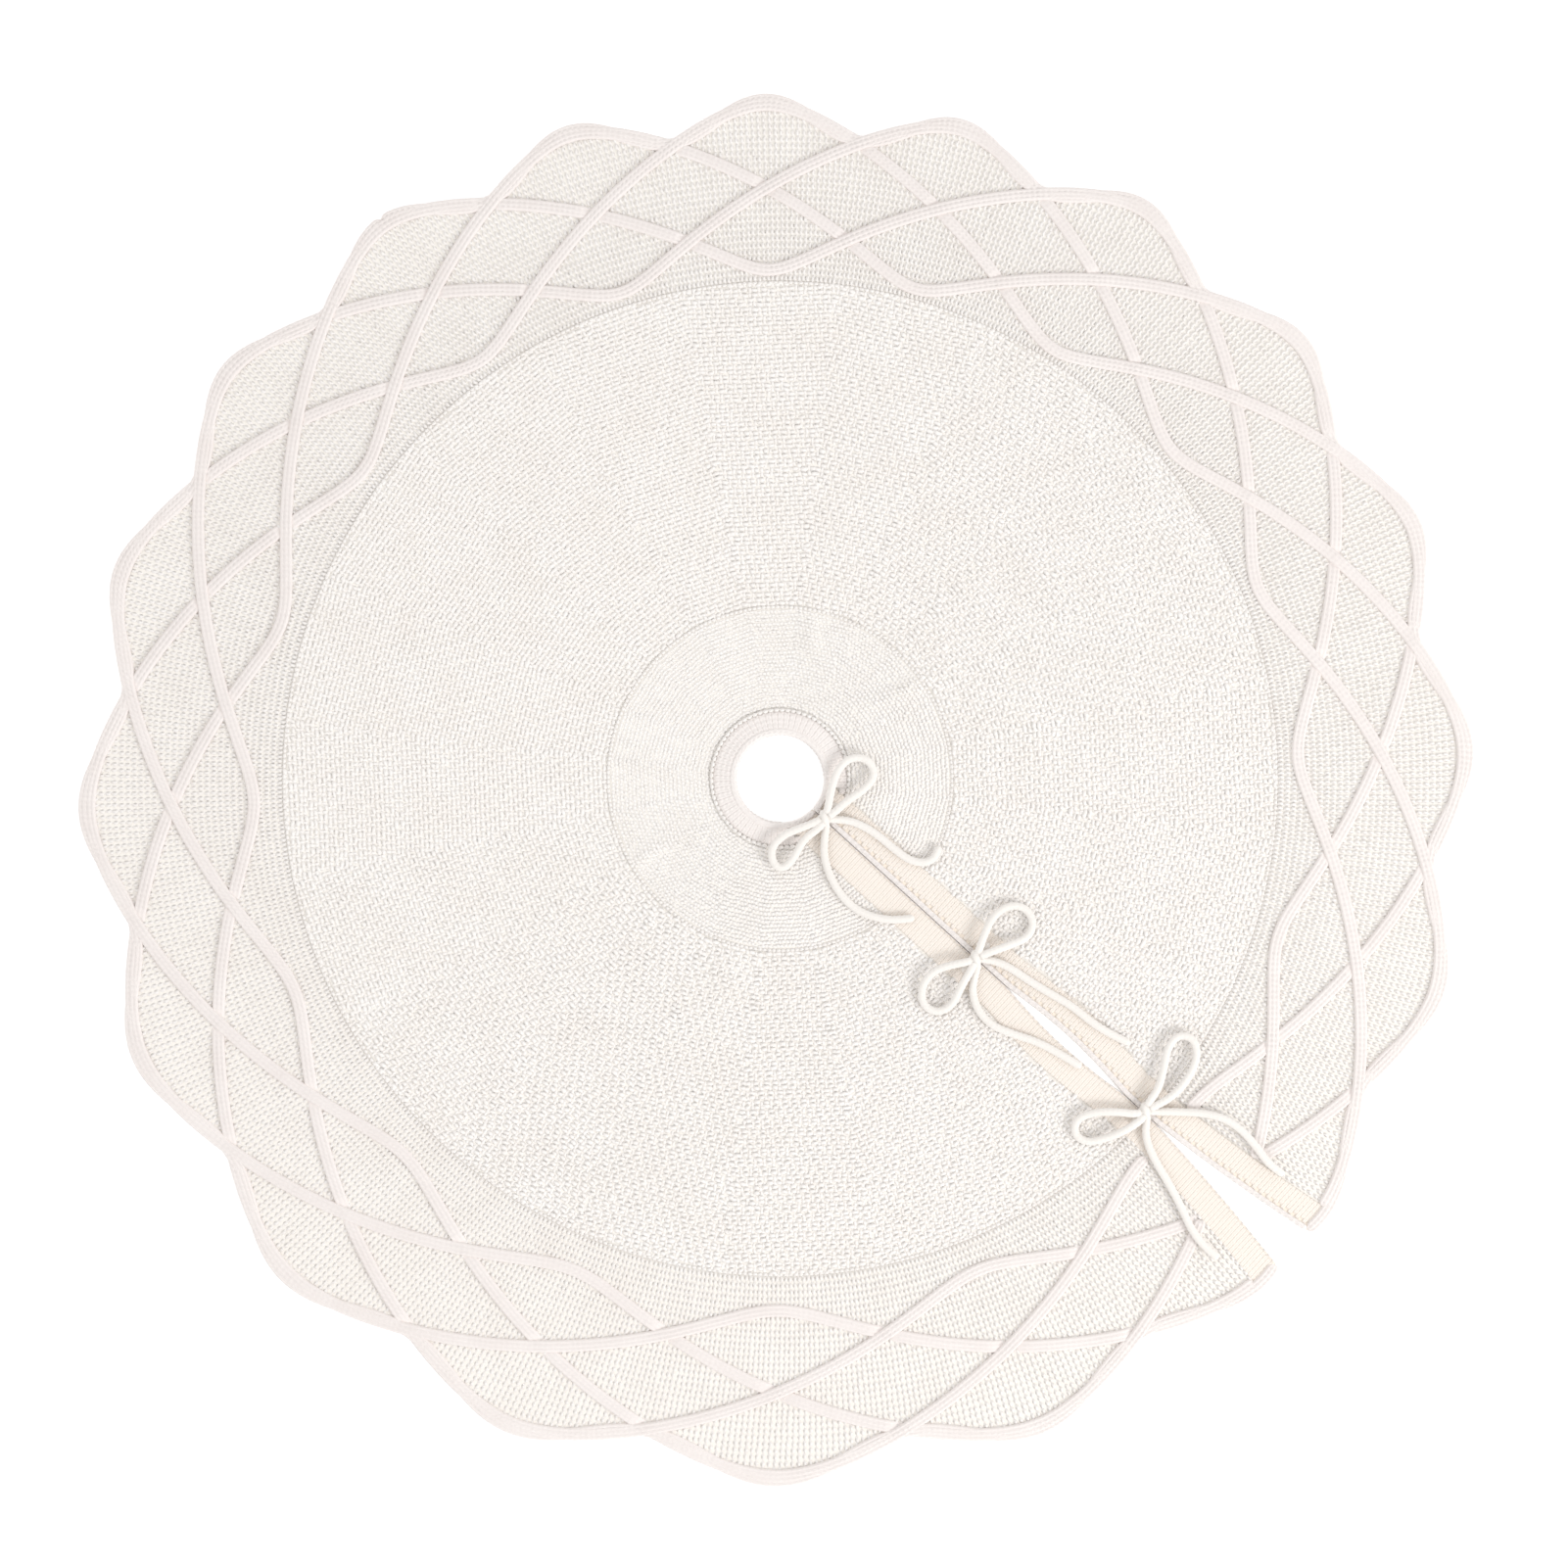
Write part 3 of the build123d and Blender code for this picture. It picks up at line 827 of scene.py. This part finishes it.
class TREESKIRT_OT_knots(SkirtOperator):
    """The wrapped knots of the bows and the sewn roots of their cords"""

    bl_idname = "tree_skirt.knots"
    bl_label = "Knots"

    def execute(self, context):
        for bow in ("bow_1", "bow_2", "bow_3"):
            knot = joined(bow + "_wrapped_knot", [self.core(bow), self.wrap(bow)])
            finish_front(knot, "tie yarn", [bow + "_knot"])
            for side in ("left", "right"):
                node = f"{bow}_{side}_root"
                root = new_mesh(node + "_cord", *self.root(node, side == "left"))
                finish_front(root, "tie yarn", [node])
        return {"FINISHED"}

    def core(self, bow):
        """The two cords that cross inside the knot, as one thick length across the slit."""
        low, high, middle, reach = box_of(bow + "_knot")
        share, inset = np.linspace(-1, 1, 12), 0.0008
        path = np.stack([np.linspace(low[0] + inset, high[0] - inset, 12), np.full(12, middle[1]),
                         middle[2] - inset - 0.0006 * share**2], -1)
        return knit_tube(path, reach[1] * 0.82, reach[2] * 0.72, around=16, round_start=True, round_end=True)

    def wrap(self, bow):
        """The turn of cord over the knot, a little aslant."""
        low, high, middle, reach = box_of(bow + "_knot")
        turn = np.linspace(radians(-25), radians(205), 30)
        path = np.stack([middle[0] + 0.0022 * np.cos(turn), middle[1] + (reach[1] - 0.0016) * np.cos(turn),
                         middle[2] - 0.0016 + (reach[2] - 0.0010) * np.sin(turn)], -1)
        width = sizes().cord
        return knit_tube(path, width * 0.46, width * 0.26, across=(-1.0, 0.0, 0.0), round_start=True,
                         round_end=True)

    def root(self, node, outwards_left):
        """The stretch from the knot to where the cord is sewn on the band, with its end turned down."""
        low, high, middle, reach = box_of(node)
        ends = (high[0], low[0]) if outwards_left else (low[0], high[0])
        points = 9
        fall = np.clip((np.arange(points) - 5) / 3, 0, 1) ** 2 * 0.0022
        path = np.stack([np.linspace(*ends, points), np.full(points, middle[1]), middle[2] - fall], -1)
        width = sizes().cord
        return knit_tube(path, width * 0.45, width * 0.33, round_end=True)


class TREESKIRT_OT_cloth(SkirtOperator):
    """The four rings of cloth that the stitches stand on"""

    bl_idname = "tree_skirt.cloth"
    bl_label = "Cloth"

    def execute(self, context):
        def hem_line(angle):
            return edge_radius(pitches_at(angle)) - 0.004

        overlap = 0.001  # under the linking seams
        inner_edge, outer_edge = PANEL_INNER - overlap, PANEL_OUTER + overlap
        collar_edge = NECK_RADIUS + 0.0016
        rings = (  # name, radii, height of the top face, thickness, grid step, slot
            ("neck_collar", collar_edge, COLLAR_OUTER, COLLAR_TOP - 0.0040, 0.0022, 0.003, "cream_rib"),
            ("yoke", COLLAR_OUTER, inner_edge, YOKE_TOP - 0.0006, 0.0022, 0.005, "cream_knit"),
            ("main_panel", inner_edge, outer_edge, PANEL_TOP - 0.0017, 0.0024, 0.006, "cream_knit"),
            ("border", outer_edge, hem_line, BORDER_GROUND - 0.0016, 0.0024, 0.006, "cream_cable"),
        )
        for ring, inner, outer, top, thickness, step, slot in rings:
            slab = cloth_slab(ring + "_cloth", inner, outer, top, thickness, step)
            finish_cloth(slab, None, ring_nodes(ring))
            reach = SCALLOP_MEAN if callable(outer) else outer
        return {"FINISHED"}


class TREESKIRT_OT_panel_stitches(SkirtOperator):
    """Double moss stitches of the main panel"""

    bl_idname = "tree_skirt.panel_stitches"
    bl_label = "Panel stitches"

    def execute(self, context):
        pitch, yarn = sizes().moss_pitch, sizes().yarn
        purl = stitch_tree("purl stitch", PURL)
        knit = stitch_tree("knit stitch", KNIT)
        reach = (PANEL_INNER + 0.001, PANEL_OUTER, pitch * 1.02, pitch)

        def moss(parity):
            return lambda rows, columns: (0.0, (columns + rows // 2) % 2 == parity)

        lay_in_quarters("main_panel_purls", purl, "cream_knit", *wedge_lattice(*reach, moss(0), 3),
                        PANEL_TOP - 0.0019, Width=pitch * 1.50, Bow=pitch * 0.30, Rise=0.0018,
                        Yarn=yarn * 2.00, Sides=4, Steps=3)
        lay_in_quarters("main_panel_knits", knit, "cream_knit", *wedge_lattice(*reach, moss(1), 4),
                        PANEL_TOP - 0.0020, Width=pitch, Bow=pitch * 1.25, Rise=0.0012,
                        Yarn=yarn * 1.90, Sides=4, Steps=3)
        return {"FINISHED"}


class TREESKIRT_OT_yoke_stitches(SkirtOperator):
    """Reverse stockinette of the yoke"""

    bl_idname = "tree_skirt.yoke_stitches"
    bl_label = "Yoke stitches"

    def execute(self, context):
        pitch, yarn = sizes().yoke_pitch, sizes().yarn

        def staggered(rows, columns):
            return 0.5 * (rows % 2), np.full(rows.shape, True)

        lattice = wedge_lattice(COLLAR_OUTER + 0.003, YOKE_OUTER, pitch * 1.03, pitch * 0.97, staggered, 5)
        lay_in_quarters("yoke_purls", bpy.data.node_groups["purl stitch"], "cream_knit", *lattice,
                        YOKE_TOP - 0.0013, Width=pitch * 1.22, Bow=pitch * 0.34, Rise=0.0017,
                        Yarn=yarn * 1.70, Sides=4, Steps=3)
        return {"FINISHED"}


class TREESKIRT_OT_border_stitches(SkirtOperator):
    """Sideways reverse stockinette of the border's ground"""

    bl_idname = "tree_skirt.border_stitches"
    bl_label = "Border stitches"

    def execute(self, context):
        row, stitch, yarn = sizes().border_row, sizes().border_stitch, sizes().yarn
        random = np.random.default_rng(11)
        middle_radius = (PANEL_OUTER + TIP_RADIUS) / 2
        first, last = sector(np.array(middle_radius))
        lines = int((last - first) * middle_radius / row)
        found = []
        radii = np.arange(BORDER_INNER + 0.002, TIP_RADIUS + TIP_SWING, stitch)
        begin, end = sector(radii)
        for line in range(lines):
            angle = begin + (line + 0.5) / lines * (end - begin)
            kept = radii < edge_radius(pitches_at(angle)) - 0.008
            found.append(np.stack([*polar(radii[kept], angle[kept]), angle[kept]], -1))
        places = np.concatenate(found)
        count = len(places)
        places[:, :2] += random.normal(0, row * 0.04, (count, 2))
        places[:, 2] += random.normal(0, 0.07, count)
        size = 1 + random.normal(0, 0.06, (count, 3))
        lay_in_quarters("border_purls", bpy.data.node_groups["purl stitch"], "cream_cable", places, size,
                        BORDER_GROUND - 0.0019, Width=stitch * 1.16, Bow=row * 0.52, Rise=0.0018,
                        Yarn=yarn * 2.15, Sides=3, Steps=3)
        return {"FINISHED"}


def cable_line(pitches, cable):
    """Middle line of one of the four cables that swing in and out as they go round."""
    swing = (pitches - cable) % CABLES
    wave = np.arcsin(TURN_ROUNDNESS * np.cos(pi * swing / 2)) / asin(TURN_ROUNDNESS)
    return polar(tip_radius(pitches) - CABLE_SETBACK - LATTICE_DEPTH * (1 - wave) / 2, tip_angle(pitches))


def cable_rise(path, cable):
    """Share of its height that a cable keeps: on its way out it dips under the cables that it crosses."""
    swing = (pitches_at(angle_of(path[:, 0], path[:, 1])) - cable) % CABLES
    near = np.zeros(len(path))
    for crossing in (0.5, 1.0, 1.5, 2.5, 3.0, 3.5):
        travelled = (swing - crossing) * PITCH_LENGTH
        near = np.maximum(near, np.exp(-(travelled / 0.0090) ** 2))
    return np.where(swing > CABLES / 2, 1 - 0.92 * near, 1 + 0.14 * near)


class TREESKIRT_OT_cables(SkirtOperator):
    """The four cables of the border, which cross over and under each other"""

    bl_idname = "tree_skirt.cables"
    bl_label = "Cables"

    def execute(self, context):
        spare = 0.001  # past the slit bands' edges
        for cable in range(CABLES):
            pitches = np.linspace(-0.6, SCALLOPS + 0.6, 1200)
            x, y = cable_line(pitches, cable)
            radius = np.hypot(x, y)
            begin, end = sector(radius)
            angle = tip_angle(pitches) - tau
            inside = np.flatnonzero((angle > begin - spare / radius) & (angle < end + spare / radius))
            strips = []
            for run in np.split(inside, np.flatnonzero(np.diff(inside) > 1) + 1):
                if len(run) < 12:
                    continue
                path = np.stack([x[run], y[run], BORDER_GROUND - 0.0010 + lift(x[run], y[run])], -1)
                strips.append(knit_strip(path, CABLE_WIDTH * 0.54, 0.0033, 3, sizes().cable_stitch, 0.004,
                                         rise_of=lambda path, cable=cable: cable_rise(path, cable)))
            finish_cloth(joined(f"border_cable_{cable + 1}", strips), "cable yarn")
        return {"FINISHED"}


class TREESKIRT_OT_hem(SkirtOperator):
    """Rolled hem that follows the scallops"""

    bl_idname = "tree_skirt.hem"
    bl_label = "Hem"

    def execute(self, context):
        half_width = 0.0058
        slit = (slit_half_gap(TIP_RADIUS) + 0.001) / TIP_RADIUS
        ends = [float(pitches_at(-pi / 2 + slit)), SCALLOPS / 2, float(pitches_at(3 * pi / 2 - slit))]
        for half, first, last in (("right", ends[0], ends[1]), ("left", ends[1], ends[2])):
            pitches = np.linspace(first, last, 500)
            x, y = polar(edge_radius(pitches) - 0.0056, tip_angle(pitches))
            path = np.stack([x, y, BORDER_GROUND - 0.0020 + lift(x, y)], -1)
            knit = knit_strip(path, half_width, 0.0040, 3, sizes().cable_stitch, 0.006, sink=0.0020)
            finish_cloth(new_mesh(f"hem_{half}", *knit), "cable yarn")
        return {"FINISHED"}


class TREESKIRT_OT_collar(SkirtOperator):
    """Ribs of the folded neck collar"""

    bl_idname = "tree_skirt.collar"
    bl_label = "Collar ribs"

    def execute(self, context):
        finish_cloth(joined("neck_collar_ribs", self.ribs()), "collar yarn")
        slit = (SLIT_GAP + 0.0008) / NECK_RADIUS
        angle = np.linspace(-pi / 2 + slit, 3 * pi / 2 - slit, 260)
        path = np.stack([*polar(NECK_RADIUS + 0.0036, angle), np.full(len(angle), COLLAR_TOP - 0.0030)], -1)
        rim = knit_strip(path, 0.0030, 0.0030, 2, 0.0050, 0.004, step=0.0010, groove=0.0003, vee=0.0004,
                         sink=0.0014)
        finish_cloth(new_mesh("neck_collar_rim", *rim), "collar yarn")
        return {"FINISHED"}

    def ribs(self):
        """Ribs that roll over the collar's inner edge and run out to its seam, clear of the bands."""
        roll = np.linspace(radians(30), radians(90), 10)
        radius = np.concatenate([NECK_RADIUS + 0.0040 - 0.0038 * np.cos(roll),
                                 np.linspace(NECK_RADIUS + 0.007, COLLAR_OUTER - 0.0010, 10)])
        height = np.concatenate([COLLAR_TOP - 0.0050 + 0.0036 * np.sin(roll),
                                 np.linspace(COLLAR_TOP - 0.0016, COLLAR_TOP - 0.0042, 10)])
        count = sizes().collar_ribs
        ribs = []
        for angle in -pi / 2 + (np.arange(count) + 0.5) / count * tau:
            x, y = polar(radius, angle)
            clear = (y > 0) | (np.abs(x) > BAND_SETBACK + 0.0005)
            if clear.sum() < 4:
                continue
            path = along_path(np.stack([x, y, height], -1)[clear], 0.0013)
            out = np.hypot(path[0][:, 0], path[0][:, 1])
            wide = np.interp(out, (NECK_RADIUS, COLLAR_OUTER), (0.0022, 0.0033))
            ribs.append(rib(path, wide, rise=0.0010, stitch=0.0046, legs=0.0006))
        return ribs


class TREESKIRT_OT_bands(SkirtOperator):
    """Ribbed bands along the slit, with their rolled edges"""

    bl_idname = "tree_skirt.bands"
    bl_label = "Slit bands"

    def execute(self, context):
        for side, name, roll, wales, over, rise, sunk in (
            (-1, "left", 0.0010, 1, 0.0, 0.0014, 0.0032), (1, "right", 0.0027, 2, 0.0009, 0.0026, 0.0022),
        ):
            slab = self.cloth(side, name)
            # the band's ground and ribs take the painted shade colours
            finish_front(slab, "band ground", [f"slit_band_{name}"])
            ribs = joined(f"slit_band_{name}_ribs", self.ribs(side, 2 * roll - over))
            finish_front(ribs, "band yarn")
            down = np.linspace(NECK_RADIUS + 0.0008, TIP_RADIUS - 0.004, 400)
            x = side * (slit_half_gap(down) + roll - over)
            path = np.stack([x, -down, np.full(len(down), BAND_TOP - sunk)], -1)
            knit = knit_strip(path, roll, rise, wales, 0.0060, 0.004, step=0.0010, groove=0.0003, vee=0.0006,
                              sink=0.0014)
            finish_front(new_mesh(f"slit_edge_roll_{name}_knit", *knit), "collar yarn",
                         [f"slit_edge_roll_{name}"])
        return {"FINISHED"}

    def cloth(self, side, name):
        """The band's ground, from the neck hole to the hem, with its outer edge tucked under the rings."""
        share, inset = np.linspace(0, 1, 8), 0.0006
        start_x = SLIT_GAP + inset + share * BAND_WIDTH
        start = np.sqrt((NECK_RADIUS + 0.0012) ** 2 - start_x**2)
        end_x = slit_half_gap(TIP_RADIUS) + inset + share * BAND_WIDTH
        hem = edge_radius(pitches_at(angle_of(side * end_x, -TIP_RADIUS)))
        end = np.sqrt((hem - 0.006) ** 2 - end_x**2)
        rows = int((TIP_RADIUS - NECK_RADIUS) / 0.004)
        down = start[None, :] + np.linspace(0, 1, rows)[:, None] * (end - start)[None, :]
        x = side * (slit_half_gap(down) + inset + share[None, :] * (BAND_WIDTH + 0.0012))
        z = np.full(x.shape, BAND_TOP - 0.0020)
        z[:, -1] -= 0.0012
        faces = grid_faces(*x.shape)
        if side < 0:
            faces = [face[::-1] for face in faces]
        slab = new_mesh(f"slit_band_{name}_cloth", np.stack([x, -down, z], -1).reshape(-1, 3), faces)
        return thickened(slab, 0.0026)

    def ribs(self, side, inset):
        """Ribs across the band. On the right band every second one starts late and leaves an eyelet."""
        pitch = sizes().rib_pitch
        ribs = []
        for number, place in enumerate(np.arange(0.029, TIP_RADIUS + 0.004, pitch)):
            gap = slit_half_gap(place)
            first = gap + inset + (0.0001 if number % 2 or side < 0 else 0.0026)
            x = side * np.linspace(first, gap + BAND_WIDTH + 0.0004, 40)
            radius = np.hypot(x, place)
            hem = edge_radius(pitches_at(angle_of(x, -place)))
            x = x[(radius > NECK_RADIUS + 0.0030) & (radius < hem - 0.007)]
            if len(x) < 4:
                continue
            path = np.stack([x, np.full(len(x), -place), np.full(len(x), BAND_TOP - 0.0020)], -1)
            path = along_path(path, 0.0016)
            ribs.append(rib(path, pitch * 0.58, rise=0.0012, stitch=BAND_STITCH, legs=0.0005))
        return ribs


class TREESKIRT_OT_seams(SkirtOperator):
    """Linking seams between the rings, as rows of small linked stitches"""

    bl_idname = "tree_skirt.seams"
    bl_label = "Linking seams"

    def execute(self, context):
        for ring, top, pitch, rise in (
            ("collar_seam", 0.0036, 0.0050, 0.0012), ("yoke_seam", 0.0027, 0.0041, 0.0011),
            ("border_seam", 0.0026, 0.0045, 0.0011),
        ):
            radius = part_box(f"{ring}_back")[1][0] - 0.00125
            first, last = sector(np.array(radius))
            count = int((last - first) * radius / pitch)
            angle = first + (np.arange(count) + 0.5) / count * (last - first)
            x, y = polar(radius, angle)
            links = lay_stitches(f"{ring}_links", bpy.data.node_groups["purl stitch"], x, y, top + lift(x, y),
                                 angle + pi / 2, np.ones((count, 3)), Width=pitch * 1.1, Bow=0.0012,
                                 Rise=rise, Yarn=0.0036, Sides=4, Steps=3)
            finish_cloth(links, None, ring_nodes(ring))
        return {"FINISHED"}


class TREESKIRT_PT_panel(bpy.types.Panel):
    """Sidebar panel that lists the skirt's pieces"""

    bl_label = "Tree skirt"
    bl_idname = "TREESKIRT_PT_panel"
    bl_space_type = "VIEW_3D"
    bl_region_type = "UI"
    bl_category = "Tree skirt"

    def draw(self, context):
        for group in (context.scene.tree_skirt_sizes, context.scene.tree_skirt_colours):
            box = self.layout.box()
            for key in group.bl_rna.properties.keys():
                if key not in ("rna_type", "name"):
                    box.prop(group, key)
        for operator in OPERATORS:
            self.layout.operator(operator.bl_idname)


OPERATORS = (
    TREESKIRT_OT_stage,
    TREESKIRT_OT_ties,
    TREESKIRT_OT_knots,
    TREESKIRT_OT_cloth,
    TREESKIRT_OT_panel_stitches,
    TREESKIRT_OT_yoke_stitches,
    TREESKIRT_OT_border_stitches,
    TREESKIRT_OT_cables,
    TREESKIRT_OT_hem,
    TREESKIRT_OT_collar,
    TREESKIRT_OT_bands,
    TREESKIRT_OT_seams,
)


def register():
    for thing in (TreeSkirtSizes, TreeSkirtColours, *OPERATORS, TREESKIRT_PT_panel):
        bpy.utils.register_class(thing)
    bpy.types.Scene.tree_skirt_sizes = PointerProperty(type=TreeSkirtSizes)
    bpy.types.Scene.tree_skirt_colours = PointerProperty(type=TreeSkirtColours)


def unregister():
    del bpy.types.Scene.tree_skirt_colours
    del bpy.types.Scene.tree_skirt_sizes
    for thing in reversed((TreeSkirtSizes, TreeSkirtColours, *OPERATORS, TREESKIRT_PT_panel)):
        bpy.utils.unregister_class(thing)


def main():
    register()
    for operator in OPERATORS:
        group, name = operator.bl_idname.split(".")
        getattr(getattr(bpy.ops, group), name)()


if __name__ == "__main__":
    main()
